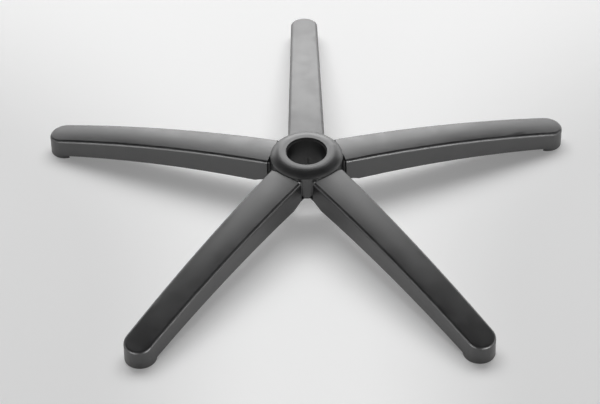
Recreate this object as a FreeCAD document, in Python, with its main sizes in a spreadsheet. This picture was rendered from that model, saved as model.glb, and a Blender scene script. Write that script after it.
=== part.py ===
"""Five-star base of an office chair, moulded in one piece from glass-filled nylon.

The model stands on the floor plane while it is built: X runs along the first arm and Z is up.
The finished star is then turned so that one arm points along +Y, and lowered so that the
origin is the middle of the column socket's rim.
"""
import FreeCAD, Part
import math
import os

import Sketcher

ARMS = 5
HUB_RIBS = 2 * ARMS
# Two points closer than this, in millimetres, are the same point.
NEAR = 1e-3

# Every driving size, in millimetres or degrees: name, value, meaning.
SIZES = (
    ("hub_height", 77.5, "floor to the rim of the column socket"),
    ("collar_crest", 30, "hub axis to where the collar starts to round off"),
    ("collar_edge", 44.3, "hub axis to the collar's outer edge"),
    ("collar_drop", 7.3, "fall of the domed collar from its crest to its edge"),
    ("flank_lean", 1, "lean of the hub's wall below the collar"),
    ("web_bottom", 40, "floor to the lower edge of that wall"),
    ("tube_radius", 29.2, "outside of the socket tube"),
    ("tube_bottom", 27, "floor to the lower end of the socket tube"),
    ("hollow_radius", 36.5, "outside of the hollow around the tube"),
    ("hollow_roof", 7, "rim of the socket down to the roof of that hollow"),
    ("socket_diameter", 50.2, "entry land of the column socket"),
    ("socket_land", 3, "depth of the entry land"),
    ("socket_edge", 0.4, "chamfer of the socket's rim"),
    ("socket_step", 0.8, "bevelled ledge from the land to the tapered seat"),
    ("seat_angle", 1.4378, "half angle of the tapered seat"),
    ("slot_width", 6, "relief slot in the seat's lower end"),
    ("slot_height", 17.5, "height of the relief slot"),
    ("slot_depth", 3.2, "depth of the relief slot"),
    ("slot_angle", 62, "direction of the slot from the first arm"),
    ("root_distance", 43.6, "hub axis to the inner end of an arm"),
    ("root_step", 3, "how far an arm stands proud of the hub"),
    ("root_corner", 4.5, "rounded corners of the hub's arm stubs"),
    ("root_fillet", 3, "fillet from the collar to the arm stubs"),
    ("root_lip", 2, "thickness of the lip that closes a stub's sides below"),
    ("root_overlap", 3.5, "length of a stub inside its arm"),
    ("dish_flat", 51, "hub axis to where the lower edges start to fall"),
    ("dish_reach", 66, "hub axis to the end of that fall"),
    ("stem_circle", 325.5, "hub axis to a caster stem's axis"),
    ("root_half_width", 24.85, "arm's half width at the root, at floor level"),
    ("tip_radius", 18.8, "round end of an arm, at floor level"),
    ("arm_draft", 2, "draft of the arm's sides"),
    ("top_root", 8.4, "rim of the socket down to the top of an arm at its root"),
    ("top_tip", 25, "floor to the top of an arm at its end"),
    ("top_arc", 1750, "radius of the arch along the top"),
    ("top_crown", 110, "radius of the crown across the top"),
    ("bottom_root", 35.3, "floor to the lower edge at the root"),
    ("bottom_tip", 0.5, "floor to the lower edge at the end"),
    ("bottom_arc", 1530, "radius of the arch along the lower edge"),
    ("shoulder", 4, "rounding between the top and the sides"),
    ("foot_height", 12, "height of the round foot before it meets the arm"),
    ("foot_edge", 0.8, "chamfer of the foot's lower edge"),
    ("wall", 4, "walls and roof of an arm"),
    ("rib", 3, "thickness of the ribs under an arm and in the hub"),
    ("rib_pitch", 50, "spacing of the cross ribs"),
    ("boss_radius", 10, "outside of a caster socket"),
    ("stem_diameter", 11, "bore for a caster stem"),
    ("stem_depth", 24, "depth of that bore"),
    ("stem_chamfer", 0.8, "lead-in of that bore"),
    ("margin", 1, "how far a cutting shape runs past the solid"),
)


class Size:
    """A number together with the sheet formula that gives it."""

    def __init__(self, value, text):
        self.value = value
        self.text = text

    @staticmethod
    def of(other):
        return other if isinstance(other, Size) else Size(other, repr(other))

    def __add__(self, other):
        other = Size.of(other)
        return Size(self.value + other.value, f"({self.text} + {other.text})")

    def __sub__(self, other):
        other = Size.of(other)
        return Size(self.value - other.value, f"({self.text} - {other.text})")

    def __mul__(self, other):
        other = Size.of(other)
        return Size(self.value * other.value, f"({self.text} * {other.text})")

    def __truediv__(self, other):
        other = Size.of(other)
        return Size(self.value / other.value, f"({self.text} / {other.text})")

    def __neg__(self):
        return Size(-self.value, f"(0 - {self.text})")


ZERO = Size(0, "0")


def tangent(angle):
    return Size(math.tan(math.radians(angle.value)), f"tan({angle.text} * 1 deg)")


def root(square):
    return Size(math.sqrt(square.value), f"sqrt({square.text})")


class Sizes:
    """The sizes by name, each tied to its cell of the sheet."""


def write_sheet(doc):
    sheet = doc.addObject("Spreadsheet::Sheet", "sizes")
    sizes = Sizes()
    for row, (name, value, meaning) in enumerate(SIZES, start=1):
        sheet.set(f"A{row}", meaning)
        sheet.set(f"B{row}", str(value))
        sheet.setAlias(f"B{row}", name)
        setattr(sizes, name, Size(value, f"sizes.{name}"))
    doc.recompute()
    return sizes


def arch_centre(start, end, radius):
    """Centre of an arch of this radius over two points (x, z), below the arch."""
    run = end[0] - start[0]
    rise = end[1] - start[1]
    span = root(run * run + rise * rise)
    drop = root(radius * radius - span * span / 4)
    middle_x = (start[0] + end[0]) / 2
    middle_z = (start[1] + end[1]) / 2
    return middle_x + drop * rise / span, middle_z - drop * run / span


def new_sketch(body, name, role):
    """A sketch on one of the body's origin planes."""
    sketch = body.newObject("Sketcher::SketchObject", name)
    plane = next(p for p in body.Origin.OriginFeatures if p.Role == role)
    sketch.AttachmentSupport = [(plane, "")]
    sketch.MapMode = "FlatFace"
    return sketch


def lift(sketch, shift):
    """Move a sketch from its plane by three sizes, given along the sketch's own axes."""
    for axis, size in zip("xyz", shift):
        sketch.setExpression(f"AttachmentOffset.Base.{axis}", size.text)


def bind(sketch, kind, where, size):
    index = sketch.addConstraint(Sketcher.Constraint(kind, *where, size.value))
    sketch.setExpression(f"Constraints[{index}]", size.text)


def pin(sketch, edge, end, x, y):
    """Hold one end of an edge at (x, y)."""
    for kind, size, axis in (("DistanceX", x, -2), ("DistanceY", y, -1)):
        if size.value == 0:
            sketch.addConstraint(Sketcher.Constraint("PointOnObject", edge, end, axis))
        else:
            bind(sketch, kind, (-1, 1, edge, end), size)


def bowed(start, end, radius, side):
    """Arc from start to end; side 1 bulges to the left of the way, -1 to the right."""
    chord = end - start
    half = chord.Length / 2
    left = FreeCAD.Vector(-chord.y, chord.x, 0).normalize()
    sagitta = radius - math.sqrt(max(radius * radius - half * half, 0))
    middle = (start + end) * 0.5 + left * (side * sagitta)
    return Part.Arc(start, middle, end)


def outline(sketch, corners):
    """Closed outline of corners (x, y), or (x, y, radius, side) where an arc leaves the corner."""
    points = [FreeCAD.Vector(c[0].value, c[1].value, 0) for c in corners]
    flipped = []
    for i, corner in enumerate(corners):
        start, end = points[i], points[(i + 1) % len(points)]
        if len(corner) == 2:
            sketch.addGeometry(Part.LineSegment(start, end), False)
            flipped.append(False)
        else:
            # a sketch keeps its arcs counter-clockwise, so one that bulges left runs the other way
            sketch.addGeometry(bowed(start, end, corner[2].value, corner[3]), False)
            flipped.append(corner[3] > 0)
    for i, corner in enumerate(corners):
        after = (i + 1) % len(corners)
        tail = 1 if flipped[i] else 2
        head = 2 if flipped[after] else 1
        sketch.addConstraint(Sketcher.Constraint("Coincident", i, tail, after, head))
    for i, corner in enumerate(corners):
        pin(sketch, i, 2 if flipped[i] else 1, corner[0], corner[1])
        if len(corner) > 2:
            bind(sketch, "Radius", (i,), corner[2])


def box(sketch, left, right, low, high):
    outline(sketch, [(left, low), (right, low), (right, high), (left, high)])


def circle(sketch, x, radius):
    """A circle with its centre on the sketch's X axis."""
    shape = Part.Circle(FreeCAD.Vector(x.value, 0, 0), FreeCAD.Vector(0, 0, 1), radius.value)
    sketch.addGeometry(shape, False)
    pin(sketch, 0, 3, x, ZERO)
    bind(sketch, "Radius", (0,), radius)


def feature(body, kind, name, profile, **settings):
    """A feature on a profile; a Size is bound to the sheet, and anything else is set."""
    made = body.newObject(f"PartDesign::{kind}", name)
    made.Profile = profile
    for key, setting in settings.items():
        if isinstance(setting, Size):
            made.setExpression(key, setting.text)
        else:
            setattr(made, key, setting)
    return made


def dress(body, kind, name, base, edges, key, size):
    """A fillet or chamfer on chosen edges of the feature below it."""
    made = body.newObject(f"PartDesign::{kind}", name)
    made.Base = (base, edges)
    made.setExpression(key, size.text)
    return made


def drafted(body, name, block, faces, angle):
    """Lean chosen faces of a block inwards, going up from the floor plane."""
    made = body.newObject("PartDesign::Draft", name)
    made.Base = (block, faces)
    made.NeutralPlane = (next(p for p in body.Origin.OriginFeatures if p.Role == "XY_Plane"), [""])
    made.setExpression("Angle", angle.text)
    return made


def repeat(body, name, originals, count):
    """Copies of features, or of the whole shape if none are named, round the body's Z axis."""
    made = body.newObject("PartDesign::PolarPattern", name)
    made.Axis = (next(a for a in body.Origin.OriginFeatures if a.Role == "Z_Axis"), [""])
    made.TransformMode = "Features" if originals else "Whole shape"
    made.Originals = originals
    made.Angle = 360
    made.Occurrences = count
    body.Tip = made
    return made


def edge_names(shape, wanted):
    return [f"Edge{i}" for i, edge in enumerate(shape.Edges, start=1) if wanted(edge)]


def arm_outline(sketch, root_x, root_half, tip_x, tip_radius):
    """Plan of an arm: a straight root, two sides that close in and a round end tangent to them."""
    near_root = FreeCAD.Vector(root_x.value, -root_half.value, 0)
    near_tip = FreeCAD.Vector(tip_x.value, -tip_radius.value, 0)
    far_tip = FreeCAD.Vector(tip_x.value, tip_radius.value, 0)
    far_root = FreeCAD.Vector(root_x.value, root_half.value, 0)
    end = FreeCAD.Vector(tip_x.value + tip_radius.value, 0, 0)
    sketch.addGeometry(Part.LineSegment(near_root, near_tip), False)
    sketch.addGeometry(Part.Arc(near_tip, end, far_tip), False)
    sketch.addGeometry(Part.LineSegment(far_tip, far_root), False)
    sketch.addGeometry(Part.LineSegment(far_root, near_root), False)
    for first, kind in enumerate(("Tangent", "Tangent", "Coincident", "Coincident")):
        sketch.addConstraint(Sketcher.Constraint(kind, first, 2, (first + 1) % 4, 1))
    pin(sketch, 1, 3, tip_x, ZERO)
    bind(sketch, "Radius", (1,), tip_radius)
    pin(sketch, 0, 1, root_x, -root_half)
    pin(sketch, 2, 2, root_x, root_half)


def arm_prism(body, name, plan, s):
    """An arm's plan raised with drafted sides and end; its root stays upright."""
    block = feature(body, "Pad", name + "_block", plan, Length=s.hub_height)
    body.Document.recompute()
    root_x = min(v.X for v in block.Shape.Vertexes)
    faces = []
    for i, face in enumerate(block.Shape.Faces, start=1):
        bounds = face.BoundBox
        if bounds.ZLength > NEAR and bounds.XMax > root_x + NEAR:
            faces.append(f"Face{i}")
    return drafted(body, name + "_draft", block, faces, s.arm_draft)


def above_arch(body, name, s, centre, radius, crown=None):
    """Cut away what lies above an arch along the arm, crowned across it or flat."""
    sketch = new_sketch(body, name + "_section", "YZ_Plane")
    lift(sketch, (ZERO, centre[1], centre[0]))
    side = s.root_half_width
    sky = radius + s.hub_height
    edge = radius
    if crown:
        edge = radius - crown + root(crown * crown - side * side)
    low_left = (-side, edge, crown, 1) if crown else (-side, edge)
    outline(sketch, [low_left, (side, edge), (side, sky), (-side, sky)])
    axis = (sketch, ["H_Axis"])
    return feature(body, "Groove", name, sketch, ReferenceAxis=axis, Angle=40, Midplane=True)


def arm_top(s):
    """Height of an arm's top at its root."""
    return s.hub_height - s.top_root


def arm_hollow(doc, s, centre):
    """The space under an arm, with its ribs and its caster socket left out of it."""
    body = doc.addObject("PartDesign::Body", "arm_hollow")
    plan = new_sketch(body, "hollow_plan", "XY_Plane")
    lift(plan, (ZERO, ZERO, -s.margin))
    start = s.root_distance + s.wall
    arm_outline(plan, start, s.root_half_width - s.wall, s.stem_circle, s.tip_radius - s.wall)
    arm_prism(body, "hollow", plan, s)
    above_arch(body, "hollow_roof_cut", s, centre, s.top_arc - s.wall)
    half = s.rib / 2
    end = s.stem_circle + s.tip_radius
    keel = new_sketch(body, "keel_plan", "XY_Plane")
    box(keel, s.root_distance, end, -half, half)
    feature(body, "Pocket", "keel", keel, Type="ThroughAll", SideType="Symmetric")
    cross = new_sketch(body, "cross_rib_plan", "XY_Plane")
    side = s.root_half_width
    box(cross, s.stem_circle - half, s.stem_circle + half, -side, side)
    first = feature(body, "Pocket", "cross_rib", cross, Type="ThroughAll", SideType="Symmetric")
    row = body.newObject("PartDesign::LinearPattern", "cross_ribs")
    row.Originals = [first]
    row.Direction = (next(a for a in body.Origin.OriginFeatures if a.Role == "X_Axis"), [""])
    row.Reversed = True
    row.Mode = "Spacing"
    row.setExpression("Offset", s.rib_pitch.text)
    pitches = (s.stem_circle - start) / s.rib_pitch
    row.setExpression("Occurrences", f"floor({pitches.text}) + 1")
    body.Tip = row
    boss = new_sketch(body, "boss_plan", "XY_Plane")
    circle(boss, s.stem_circle, s.boss_radius)
    feature(body, "Pocket", "boss", boss, Type="ThroughAll", SideType="Symmetric")
    body.AllowCompound = True
    return body


def arm_star(doc, s):
    """One arched arm with its foot, hollow and caster bore, repeated round the hub."""
    body = doc.addObject("PartDesign::Body", "arms")
    body.AllowCompound = True
    end = s.stem_circle + s.tip_radius
    centre = arch_centre((s.root_distance, arm_top(s)), (end, s.top_tip), s.top_arc)
    plan = new_sketch(body, "arm_plan", "XY_Plane")
    arm_outline(plan, s.root_distance, s.root_half_width, s.stem_circle, s.tip_radius)
    arm_prism(body, "arm", plan, s)
    above_arch(body, "arm_top", s, centre, s.top_arc, s.top_crown)
    under = new_sketch(body, "arm_underside", "XZ_Plane")
    outline(under, [
        (s.root_distance - s.margin, -s.margin),
        (end + s.margin, -s.margin),
        (end + s.margin, s.bottom_tip),
        (end, s.bottom_tip, s.bottom_arc, -1),
        (s.root_distance, s.bottom_root),
        (s.root_distance - s.margin, s.bottom_root),
    ])
    feature(body, "Pocket", "arm_arch", under, Type="ThroughAll", SideType="Symmetric")
    foot_plan = new_sketch(body, "foot_plan", "XY_Plane")
    circle(foot_plan, s.stem_circle, s.tip_radius)
    foot = feature(body, "Pad", "foot", foot_plan, Length=s.foot_height, TaperAngle=-s.arm_draft)
    doc.recompute()
    top = next(f for f in foot.Shape.Faces if isinstance(f.Surface, Part.Toroid))
    at_root = s.root_distance.value + s.margin.value
    rim = [e for e in top.Edges if e.BoundBox.XMax > at_root]
    names = edge_names(foot.Shape, lambda e: any(e.isSame(r) for r in rim))
    shoulder = dress(body, "Fillet", "shoulders", foot, names, "Radius", s.shoulder)
    doc.recompute()
    names = edge_names(shoulder.Shape, lambda e: e.BoundBox.ZMax < NEAR)
    dress(body, "Chamfer", "foot_chamfer", shoulder, names, "Size", s.foot_edge)
    hollowed = body.newObject("PartDesign::Boolean", "hollowed")
    hollowed.Type = "Cut"
    hollowed.setObjects([arm_hollow(doc, s, centre)])
    bore_plan = new_sketch(body, "stem_bore_plan", "XY_Plane")
    circle(bore_plan, s.stem_circle, s.stem_diameter / 2)
    bore = feature(body, "Pocket", "stem_bore", bore_plan, Length=s.stem_depth, Reversed=True)
    doc.recompute()
    bore_radius = s.stem_diameter.value / 2
    names = edge_names(bore.Shape, lambda e: e.BoundBox.ZMax < NEAR
                       and isinstance(e.Curve, Part.Circle) and abs(e.Curve.Radius - bore_radius) < NEAR)
    dress(body, "Chamfer", "stem_lead_in", bore, names, "Size", s.stem_chamfer)
    repeat(body, "five_arms", [], ARMS)
    return body


def collar_arc(s):
    """Radius of the dome that leaves the crest level and ends at the collar's edge."""
    run = s.collar_edge - s.collar_crest
    return (run * run + s.collar_drop * s.collar_drop) / (s.collar_drop * 2)


def flank_radius(s, height):
    """Radius of the leaning flank at a height below the collar's edge."""
    return s.collar_edge + (s.hub_height - s.collar_drop - height) * tangent(s.flank_lean)


def hub(doc, s):
    """The collar, the stubs that carry the arms, the tapered socket and the ribbed hollow round it."""
    body = doc.addObject("PartDesign::Body", "star_base")
    body.Label = "star_base"
    section = new_sketch(body, "hub_section", "XZ_Plane")
    outline(section, [
        (ZERO, s.tube_bottom),
        (s.tube_radius, s.tube_bottom),
        (s.tube_radius, s.web_bottom),
        (flank_radius(s, s.web_bottom), s.web_bottom),
        (s.collar_edge, s.hub_height - s.collar_drop, collar_arc(s), -1),
        (s.collar_crest, s.hub_height),
        (ZERO, s.hub_height),
    ])
    feature(body, "Revolution", "hub_turned", section, ReferenceAxis=(section, ["V_Axis"]), Angle=360)
    stub_half = s.root_half_width - arm_top(s) * tangent(s.arm_draft) - s.root_step
    stub_top = arm_top(s) - s.root_step
    stub_section = new_sketch(body, "stub_section", "YZ_Plane")
    lip_half = s.root_half_width - s.web_bottom * tangent(s.arm_draft)
    lip_top = s.web_bottom + s.root_lip
    outline(stub_section, [
        (-stub_half, lip_top),
        (-lip_half, lip_top),
        (-lip_half, s.web_bottom),
        (lip_half, s.web_bottom),
        (lip_half, lip_top),
        (stub_half, lip_top),
        (stub_half, stub_top - s.root_corner, s.root_corner, -1),
        (stub_half - s.root_corner, stub_top),
        (s.root_corner - stub_half, stub_top, s.root_corner, -1),
        (-stub_half, stub_top - s.root_corner),
    ])
    stub = feature(body, "Pad", "stub", stub_section, Length=s.root_distance + s.root_overlap)
    stubs = repeat(body, "stubs", [stub], ARMS)
    doc.recompute()
    names = edge_names(stubs.Shape, lambda e: joins_flank(e, s, stub_top.value))
    dress(body, "Fillet", "root_fillets", stubs, names, "Radius", s.root_fillet)
    socket(body, s)
    hub_hollow(body, s)
    return body


def joins_flank(edge, s, stub_top):
    """Is this edge where a stub meets the hub, above the stub's lip?"""
    low = s.web_bottom.value + s.root_lip.value
    if edge.BoundBox.ZMax > stub_top + NEAR or edge.BoundBox.ZMax < low + NEAR:
        return False
    gaps = [math.hypot(p.x, p.y) - flank_radius(s, Size.of(p.z)).value for p in edge.discretize(5)]
    return max(map(abs, gaps)) < NEAR


def socket(body, s):
    """Entry land, ledge and tapered seat of the column socket, with the slot in the seat's end."""
    land = s.socket_diameter / 2
    ledge = s.hub_height - s.socket_land
    seat = land - s.socket_step
    end = s.tube_bottom - s.margin
    section = new_sketch(body, "socket_section", "XZ_Plane")
    outline(section, [
        (ZERO, end),
        (seat - (ledge - end) * tangent(s.seat_angle), end),
        (seat, ledge - s.socket_step),
        (land, ledge),
        (land, s.hub_height - s.socket_edge),
        (land + s.socket_edge, s.hub_height),
        (ZERO, s.hub_height),
    ])
    feature(body, "Groove", "column_socket", section, ReferenceAxis=(section, ["V_Axis"]), Angle=360)
    cut = new_sketch(body, "slot_section", "XZ_Plane")
    cut.AttachmentOffset = FreeCAD.Placement(
        FreeCAD.Vector(), FreeCAD.Rotation(FreeCAD.Vector(0, 1, 0), s.slot_angle.value))
    cut.setExpression("AttachmentOffset.Rotation.Angle", s.slot_angle.text + " * 1 deg")
    box(cut, seat / 2, seat + s.slot_depth, end, s.tube_bottom + s.slot_height)
    feature(body, "Pocket", "seat_slot", cut, Length=s.slot_width, SideType="Symmetric")


def hub_hollow(body, s):
    """The ring-shaped hollow round the socket tube, and the ribs that cross it."""
    low = s.web_bottom - s.margin
    roof = s.hub_height - s.hollow_roof
    section = new_sketch(body, "hub_hollow_section", "XZ_Plane")
    box(section, s.tube_radius, s.hollow_radius, low, roof)
    feature(body, "Groove", "hub_hollow", section, ReferenceAxis=(section, ["V_Axis"]), Angle=360)
    rib_side = new_sketch(body, "hub_rib_side", "XZ_Plane")
    inner = s.tube_radius - s.margin
    outer = s.hollow_radius + s.margin
    box(rib_side, inner, outer, s.web_bottom, roof + s.margin)
    rib = feature(body, "Pad", "hub_rib", rib_side, Length=s.rib, SideType="Symmetric")
    repeat(body, "hub_ribs", [rib], HUB_RIBS)


def sweep_up_edges(body, s):
    """Cut the arms' lower edges so that they rise to the level of the hub's walls."""
    section = new_sketch(body, "dish_section", "XZ_Plane")
    web = flank_radius(s, s.web_bottom)
    low = s.bottom_root - s.margin
    outline(section, [
        (web, low),
        (s.dish_reach, low),
        (s.dish_flat, s.web_bottom),
        (web, s.web_bottom),
    ])
    feature(body, "Groove", "dish", section, ReferenceAxis=(section, ["V_Axis"]), Angle=360)


def main():
    doc = FreeCAD.newDocument("star_base")
    s = write_sheet(doc)
    arms = arm_star(doc, s)
    base = hub(doc, s)
    joined = base.newObject("PartDesign::Boolean", "joined")
    joined.Type = "Fuse"
    joined.setObjects([arms])
    sweep_up_edges(base, s)
    base.Placement = FreeCAD.Placement(
        FreeCAD.Vector(), FreeCAD.Rotation(FreeCAD.Vector(0, 0, 1), 90 - 360 / ARMS))
    base.setExpression("Placement.Base.z", f"0 - {s.hub_height.text}")
    doc.recompute()
    for made in doc.Objects:
        if "Invalid" in made.State or "Error" in made.State:
            raise RuntimeError(f"{made.Name} failed: {made.State}")
    if base.Shape.isNull() or not base.Shape.isValid() or len(base.Shape.Solids) != 1:
        raise RuntimeError(f"{base.Label} is not one sound solid")
    os.makedirs("parts", exist_ok=True)
    base.Shape.exportStep(f"parts/{base.Label}.step")


main()
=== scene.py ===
"""Five star base of an office chair: one nylon moulding, dressed and set on a pale studio floor."""

import math

import bpy
import numpy as np
from mathutils import Matrix, Vector


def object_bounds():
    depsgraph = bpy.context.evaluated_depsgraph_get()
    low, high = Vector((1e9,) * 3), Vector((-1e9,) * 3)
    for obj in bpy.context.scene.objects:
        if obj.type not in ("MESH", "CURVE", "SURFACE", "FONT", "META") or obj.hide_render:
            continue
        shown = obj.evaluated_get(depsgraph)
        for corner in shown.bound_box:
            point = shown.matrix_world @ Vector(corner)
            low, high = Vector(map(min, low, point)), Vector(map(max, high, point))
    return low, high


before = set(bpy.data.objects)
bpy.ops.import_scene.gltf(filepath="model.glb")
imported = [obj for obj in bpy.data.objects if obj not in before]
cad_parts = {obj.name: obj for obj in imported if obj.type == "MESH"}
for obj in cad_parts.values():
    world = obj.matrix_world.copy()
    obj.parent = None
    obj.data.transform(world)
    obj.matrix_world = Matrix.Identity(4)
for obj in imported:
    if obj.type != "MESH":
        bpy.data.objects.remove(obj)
CAD_BOX = [list(corner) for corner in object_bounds()]

bl_info = {
    "name": "Office Chair Star Base",
    "version": (1, 0, 0),
    "blender": (4, 5, 0),
    "location": "View3D > Sidebar > Star Base",
    "description": "Dresses the moulded star base and sets it on a studio floor",
    "category": "Object",
}

MM = 0.001
PHOTO_WIDTH = 600
SENSOR_WIDTH = 36.0

# The painted pool of light on the paper, in metres: its half width at the front, the line from which it
# widens towards the back, how fast it widens, and the stretch over which it fades out in front.
POOL_HALF_WIDTH = 0.15
POOL_FRONT = -0.33
POOL_GROWTH = 1.1
POOL_FADE = (-1.2, -0.4)
# The shares of its half width between which the pool fades out to the sides.
POOL_EDGE = (0.3, 1.7)

# The sines of the heights above the horizon between which the walls give way to the ceiling.
WALL_TOP = (0.2, 0.65)

# Lamps: name, place and target in metres, width, height, watts. The key gives all diffuse light,
# and the shadows that fall forward from it. The panels only show in reflections.
KEY = ("top_softbox", (-0.1, 2.2, 4.0), (0.0, 0.0, 0.0), 6.0, 2.8, 190.0)
PANELS = (
    ("back_wall", (0.3, 2.6, 0.75), (0.3, 0.0, 0.75), 6.0, 1.65, 57.0),
    ("back_softbox", (0.0, 1.82, 1.24), (0.0, 0.0, 0.0), 1.4, 1.78, 21.0),
    ("left_card", (-2.3, -0.1, 0.3), (0.0, 0.0, 0.3), 1.8, 0.7, 6.0),
    ("right_card", (2.3, -0.1, 0.3), (0.0, 0.0, 0.3), 1.8, 0.7, 8.0),
    ("front_left_card", (-1.41, -1.685, 0.3), (0.0, 0.0, 0.3), 1.45, 0.75, 20.0),
    ("front_right_card", (1.41, -1.685, 0.3), (0.0, 0.0, 0.3), 1.45, 0.75, 28.0),
)


def linear(hex_colour):
    """Turns an sRGB hex value such as 3A3A3C into linear red, green and blue."""
    srgb = np.array([int(hex_colour[i : i + 2], 16) for i in (0, 2, 4)]) / 255.0
    low = srgb / 12.92
    high = ((srgb + 0.055) / 1.055) ** 2.4
    return tuple(float(v) for v in np.where(srgb <= 0.04045, low, high))


def add_node(tree, kind, settings=None, **links):
    """Adds one node: settings set its properties, links set a socket to a value or another socket."""
    node = tree.nodes.new(kind)
    for name, value in (settings or {}).items():
        setattr(node, name, value)
    for name, value in links.items():
        key = int(name[1:]) if name[1:].isdigit() else name.replace("_", " ")
        socket = node.inputs[key]
        if isinstance(value, bpy.types.NodeSocket):
            tree.links.new(value, socket)
        else:
            socket.default_value = value
    return node


class StarBaseFinish(bpy.types.PropertyGroup):
    """Colour and surface of the moulded star base."""

    colour: bpy.props.FloatVectorProperty(
        name="Nylon colour",
        description="Colour of the dyed, glass filled nylon",
        default=linear("1B1B1C"),
        size=3,
        subtype="COLOR",
        min=0.0,
        max=1.0,
    )
    roughness: bpy.props.FloatProperty(
        name="Roughness",
        description="Roughness of the moulded surface",
        default=0.38,
        min=0.0,
        max=1.0,
    )
    roughness_spread: bpy.props.FloatProperty(
        name="Roughness spread",
        description="Most that fibres and rubs add to the roughness or take from it",
        default=0.04,
        min=0.0,
        max=1.0,
    )
    grain: bpy.props.FloatProperty(
        name="Grain size",
        description="Width of one grain of the moulded texture",
        default=1.2 * MM,
        unit="LENGTH",
    )
    grain_depth: bpy.props.FloatProperty(
        name="Grain depth",
        description="Height of the moulded texture from its pits to its peaks",
        default=0.1 * MM,
        unit="LENGTH",
    )
    fibre_colour: bpy.props.FloatVectorProperty(
        name="Fibre colour",
        description="Colour where glass fibres reach the skin",
        default=linear("222223"),
        size=3,
        subtype="COLOR",
        min=0.0,
        max=1.0,
    )
    cloud: bpy.props.FloatProperty(
        name="Cloud size",
        description="Width of one cloudy patch of fibres",
        default=22 * MM,
        unit="LENGTH",
    )
    rub: bpy.props.FloatProperty(
        name="Rub size",
        description="Width of one patch of fine rubs",
        default=6 * MM,
        unit="LENGTH",
    )


class StarBaseStage(bpy.types.PropertyGroup):
    """Floor, light and camera around the star base."""

    # painted light: the lit paper colour inside the painted pool of light
    painted_pool_colour: bpy.props.FloatVectorProperty(
        name="Floor colour",
        description="Colour of the seamless paper that the base stands on",
        default=linear("EEEEEE"),
        size=3,
        subtype="COLOR",
        min=0.0,
        max=1.0,
    )
    # painted shade: the greyer paper colour outside the painted pool of light, to the sides and front
    painted_shade_edge_colour: bpy.props.FloatVectorProperty(
        name="Floor edge colour",
        description="Colour of the paper outside the pool of light",
        default=linear("D8D8D8"),
        size=3,
        subtype="COLOR",
        min=0.0,
        max=1.0,
    )
    floor_lift: bpy.props.FloatProperty(
        name="Floor lift",
        description="Even brightness that the picture adds to the paper",
        default=0.3,
        min=0.0,
        max=1.0,
    )
    floor_reach: bpy.props.FloatProperty(
        name="Floor reach",
        description="Distance from the middle of the floor to its edge",
        default=6.0,
        unit="LENGTH",
    )
    floor_gap: bpy.props.FloatProperty(
        name="Floor gap",
        description="Distance from the feet down to the paper, which keeps the two faces apart",
        default=0.1 * MM,
        unit="LENGTH",
    )
    wall_light: bpy.props.FloatProperty(
        name="Wall light",
        description="Brightness of the studio's walls",
        default=0.25,
        min=0.0,
    )
    ceiling_light: bpy.props.FloatProperty(
        name="Ceiling light",
        description="Brightness of the studio's ceiling",
        default=0.06,
        min=0.0,
    )
    camera_azimuth: bpy.props.FloatProperty(
        name="Camera azimuth",
        description="Turn of the camera about the upright axis",
        default=0.00194,
        subtype="ANGLE",
    )
    camera_elevation: bpy.props.FloatProperty(
        name="Camera elevation",
        description="Height of the camera above the horizon as an angle",
        default=0.74001,
        subtype="ANGLE",
    )
    camera_roll: bpy.props.FloatProperty(
        name="Camera roll",
        description="Tilt of the picture about the line of sight",
        default=-0.01616,
        subtype="ANGLE",
    )
    camera_distance: bpy.props.FloatProperty(
        name="Camera distance",
        description="Distance from the camera to the point that it is aimed at",
        default=2065.43 * MM,
        unit="LENGTH",
    )
    focal_pixels: bpy.props.FloatProperty(
        name="Focal length in pixels",
        description="Focal length of the picture as a count of its pixels",
        default=1698.86,
    )
    aim: bpy.props.FloatVectorProperty(
        name="Aim",
        description="Offset of the aim from the rim of the socket, to the right and up in the picture",
        default=(-8.92864 * MM, -61.92746 * MM),
        size=2,
        subtype="TRANSLATION",
        unit="LENGTH",
    )


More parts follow.
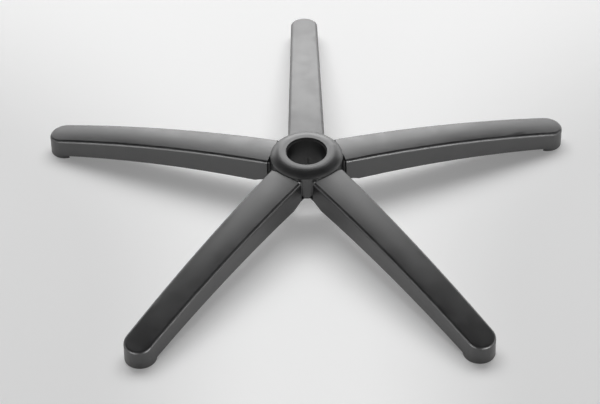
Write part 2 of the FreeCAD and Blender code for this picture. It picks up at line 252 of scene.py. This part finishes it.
def nylon_material(finish):
    """Glass filled nylon from a spark eroded mould: dark, satin, with a fine even grain."""
    material = bpy.data.materials.new("glass_filled_nylon_moulded")
    material.use_nodes = True
    tree = material.node_tree
    tree.nodes.clear()
    place = add_node(tree, "ShaderNodeTexCoord").outputs["Object"]
    # a moulded grain is finer than one pixel of the picture, which covers about 1.2 mm of the base,
    # so it is drawn as coarse as that to show
    grain = add_node(
        tree,
        "ShaderNodeTexNoise",
        Vector=place,
        Scale=1.0 / finish.grain,
        Detail=2.0,
        Roughness=0.6,
    )
    bump = add_node(
        tree,
        "ShaderNodeBump",
        Height=grain.outputs["Fac"],
        Strength=0.08,
        Distance=finish.grain_depth,
    )
    # glass fibres that reach the skin leave faint cloudy patches, a little paler and duller
    cloud = add_node(
        tree,
        "ShaderNodeTexNoise",
        Vector=place,
        Scale=1.0 / finish.cloud,
        Detail=4.0,
        Roughness=0.55,
    )
    patch = add_node(
        tree,
        "ShaderNodeMapRange",
        {"interpolation_type": "SMOOTHSTEP"},
        Value=cloud.outputs["Fac"],
        From_Min=0.35,
        From_Max=0.65,
    )
    tone = add_node(
        tree,
        "ShaderNodeMix",
        {"data_type": "RGBA"},
        Factor=patch.outputs["Result"],
        A=(*finish.colour, 1.0),
        B=(*finish.fibre_colour, 1.0),
    )
    # fine rubs from handling lie across the grain and take the satin down where they cross it
    rub = add_node(
        tree,
        "ShaderNodeTexNoise",
        Vector=place,
        Scale=1.0 / finish.rub,
        Detail=6.0,
        Roughness=0.7,
    )
    dull = add_node(
        tree,
        "ShaderNodeMath",
        {"operation": "ADD"},
        _0=patch.outputs["Result"],
        _1=rub.outputs["Fac"],
    )
    satin = add_node(
        tree,
        "ShaderNodeMapRange",
        Value=dull.outputs[0],
        From_Min=0.3,
        From_Max=1.7,
        To_Min=finish.roughness - finish.roughness_spread,
        To_Max=finish.roughness + finish.roughness_spread,
    )
    # the specular level is twice what the index gives, matched to the sheen of the moulding
    shader = add_node(
        tree,
        "ShaderNodeBsdfPrincipled",
        Base_Color=tone.outputs["Result"],
        Roughness=satin.outputs["Result"],
        IOR=1.53,
        Specular_IOR_Level=1.0,
        Normal=bump.outputs["Normal"],
    )
    add_node(tree, "ShaderNodeOutputMaterial", Surface=shader.outputs["BSDF"])
    return material


class STARBASE_OT_moulding(bpy.types.Operator):
    """Give the moulded star base its nylon finish."""

    bl_idname = "starbase.moulding"
    bl_label = "Moulded Star Base"

    def execute(self, context):
        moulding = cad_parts["star_base"]
        moulding.data.materials.clear()
        moulding.data.materials.append(nylon_material(context.scene.star_base_finish))
        return {"FINISHED"}


def paper_material(stage):
    """Matt seamless paper with a painted pool of light: pale at the back and middle, greyer to the
    sides.
    """
    material = bpy.data.materials.new("seamless_paper")
    material.use_nodes = True
    tree = material.node_tree
    tree.nodes.clear()
    place = add_node(tree, "ShaderNodeTexCoord").outputs["Object"]
    along = add_node(tree, "ShaderNodeSeparateXYZ", Vector=place)
    # the pool's half width grows with the cube of the distance from its front line
    back = add_node(
        tree, "ShaderNodeMath", {"operation": "SUBTRACT"}, _0=along.outputs["Y"], _1=POOL_FRONT
    )
    back = add_node(tree, "ShaderNodeMath", {"operation": "MAXIMUM"}, _0=back.outputs[0], _1=0.0)
    cube = add_node(tree, "ShaderNodeMath", {"operation": "POWER"}, _0=back.outputs[0], _1=3.0)
    half = add_node(
        tree,
        "ShaderNodeMath",
        {"operation": "MULTIPLY_ADD"},
        _0=cube.outputs[0],
        _1=POOL_GROWTH,
        _2=POOL_HALF_WIDTH,
    )
    side = add_node(tree, "ShaderNodeMath", {"operation": "ABSOLUTE"}, _0=along.outputs["X"])
    reach = add_node(
        tree, "ShaderNodeMath", {"operation": "DIVIDE"}, _0=side.outputs[0], _1=half.outputs[0]
    )
    pool = add_node(
        tree,
        "ShaderNodeMapRange",
        {"interpolation_type": "SMOOTHSTEP"},
        Value=reach.outputs[0],
        From_Min=POOL_EDGE[0],
        From_Max=POOL_EDGE[1],
        To_Min=1.0,
        To_Max=0.0,
    )
    near = add_node(
        tree,
        "ShaderNodeMapRange",
        {"interpolation_type": "SMOOTHSTEP"},
        Value=along.outputs["Y"],
        From_Min=POOL_FADE[0],
        From_Max=POOL_FADE[1],
    )
    pool = add_node(
        tree,
        "ShaderNodeMath",
        {"operation": "MULTIPLY"},
        _0=pool.outputs["Result"],
        _1=near.outputs["Result"],
    )
    # painted pool of light: the paper colour runs from the painted edge shade to the lit pool colour,
    # and the even glow below takes this colour too
    tone = add_node(
        tree,
        "ShaderNodeMix",
        {"data_type": "RGBA"},
        Factor=pool.outputs[0],
        A=(*stage.painted_shade_edge_colour, 1.0),
        B=(*stage.painted_pool_colour, 1.0),
    )
    shader = add_node(tree, "ShaderNodeBsdfDiffuse", Color=tone.outputs["Result"])
    glow = add_node(tree, "ShaderNodeEmission", Color=tone.outputs["Result"], Strength=stage.floor_lift)
    path = add_node(tree, "ShaderNodeLightPath")
    seen = add_node(
        tree,
        "ShaderNodeMath",
        {"operation": "MAXIMUM"},
        _0=path.outputs["Is Camera Ray"],
        _1=path.outputs["Is Glossy Ray"],
    )
    seen = add_node(
        tree,
        "ShaderNodeMath",
        {"operation": "MAXIMUM"},
        _0=seen.outputs[0],
        _1=path.outputs["Is Transmission Ray"],
    )
    lifted = add_node(tree, "ShaderNodeAddShader", _0=shader.outputs[0], _1=glow.outputs[0])
    surface = add_node(
        tree, "ShaderNodeMixShader", _0=seen.outputs[0], _1=shader.outputs[0], _2=lifted.outputs[0]
    )
    # the paper is clear from below, so that the underside of the base can be seen
    below = add_node(tree, "ShaderNodeNewGeometry").outputs["Backfacing"]
    clear = add_node(tree, "ShaderNodeBsdfTransparent")
    surface = add_node(tree, "ShaderNodeMixShader", _0=below, _1=surface.outputs[0], _2=clear.outputs[0])
    add_node(tree, "ShaderNodeOutputMaterial", Surface=surface.outputs[0])
    return material


def add_softbox(name, place, target, width, height, watts):
    """Adds one rectangular area light at place, aimed at target and hidden from the camera."""
    light = bpy.data.lights.new(name, "AREA")
    light.shape = "RECTANGLE"
    light.size = width
    light.size_y = height
    light.energy = watts
    lamp = bpy.data.objects.new(name, light)
    bpy.context.scene.collection.objects.link(lamp)
    lamp.location = place
    lamp.visible_camera = False
    lamp.rotation_euler = (Vector(target) - Vector(place)).to_track_quat("-Z", "Y").to_euler()
    return lamp


def add_camera(stage):
    """Adds the camera: azimuth and elevation give its line of sight, then the picture is rolled."""
    azimuth, elevation = stage.camera_azimuth, stage.camera_elevation
    forward = Vector(
        (
            -math.sin(azimuth) * math.cos(elevation),
            math.cos(azimuth) * math.cos(elevation),
            -math.sin(elevation),
        )
    )
    right = Vector((math.cos(azimuth), math.sin(azimuth), 0.0))
    upward = right.cross(forward)
    place = stage.aim[0] * right + stage.aim[1] * upward - stage.camera_distance * forward
    cosine, sine = math.cos(stage.camera_roll), math.sin(stage.camera_roll)
    turned_right = cosine * right + sine * upward
    turned_up = cosine * upward - sine * right
    turn = Matrix((turned_right, turned_up, -forward)).transposed()
    lens = bpy.data.cameras.new("camera")
    lens.sensor_width = SENSOR_WIDTH
    lens.lens = stage.focal_pixels * SENSOR_WIDTH / PHOTO_WIDTH
    camera = bpy.data.objects.new("camera", lens)
    bpy.context.scene.collection.objects.link(camera)
    camera.matrix_world = Matrix.Translation(place) @ turn.to_4x4()
    bpy.context.scene.camera = camera


class STARBASE_OT_stage(bpy.types.Operator):
    """Lay the pale floor, hang the soft lights and set the camera."""

    bl_idname = "starbase.stage"
    bl_label = "Studio Stage"

    def execute(self, context):
        stage = context.scene.star_base_stage
        low = CAD_BOX[0][2] - stage.floor_gap
        corners = np.array([(-1, -1), (1, -1), (1, 1), (-1, 1)]) * stage.floor_reach
        mesh = bpy.data.meshes.new("floor")
        mesh.from_pydata(np.column_stack((corners, np.full(4, low))).tolist(), [], [(0, 1, 2, 3)])
        floor = bpy.data.objects.new("floor", mesh)
        context.scene.collection.objects.link(floor)
        mesh.materials.append(paper_material(stage))

        add_softbox(*KEY).visible_glossy = False
        for panel in PANELS:
            add_softbox(*panel).visible_diffuse = False

        world = bpy.data.worlds.new("studio")
        context.scene.world = world
        world.use_nodes = True
        tree = world.node_tree
        tree.nodes.clear()
        # pale walls all round, under a dark ceiling
        way = add_node(tree, "ShaderNodeTexCoord").outputs["Generated"]
        height = add_node(tree, "ShaderNodeSeparateXYZ", Vector=way)
        wall = add_node(
            tree,
            "ShaderNodeMapRange",
            {"interpolation_type": "SMOOTHSTEP"},
            Value=height.outputs["Z"],
            From_Min=WALL_TOP[0],
            From_Max=WALL_TOP[1],
            To_Min=stage.wall_light,
            To_Max=stage.ceiling_light,
        )
        ambient = add_node(
            tree, "ShaderNodeBackground", Color=(1.0, 1.0, 1.0, 1.0), Strength=wall.outputs["Result"]
        )
        add_node(tree, "ShaderNodeOutputWorld", Surface=ambient.outputs["Background"])

        add_camera(stage)
        context.scene.view_settings.view_transform = "Standard"
        return {"FINISHED"}


class STARBASE_PT_panel(bpy.types.Panel):
    """Lists the pieces and the stage of the star base."""

    bl_idname = "STARBASE_PT_panel"
    bl_label = "Star Base"
    bl_space_type = "VIEW_3D"
    bl_region_type = "UI"
    bl_category = "Star Base"

    def draw(self, context):
        for group in (context.scene.star_base_finish, context.scene.star_base_stage):
            for name in group.__annotations__:
                self.layout.prop(group, name)
        for operator in (STARBASE_OT_moulding, STARBASE_OT_stage):
            self.layout.operator(operator.bl_idname)


CLASSES = (
    StarBaseFinish,
    StarBaseStage,
    STARBASE_OT_moulding,
    STARBASE_OT_stage,
    STARBASE_PT_panel,
)


def register():
    for cls in CLASSES:
        bpy.utils.register_class(cls)
    bpy.types.Scene.star_base_finish = bpy.props.PointerProperty(type=StarBaseFinish)
    bpy.types.Scene.star_base_stage = bpy.props.PointerProperty(type=StarBaseStage)


def unregister():
    del bpy.types.Scene.star_base_stage
    del bpy.types.Scene.star_base_finish
    for cls in reversed(CLASSES):
        bpy.utils.unregister_class(cls)


def main():
    register()
    bpy.ops.starbase.moulding()
    bpy.ops.starbase.stage()


if __name__ == "__main__":
    main()
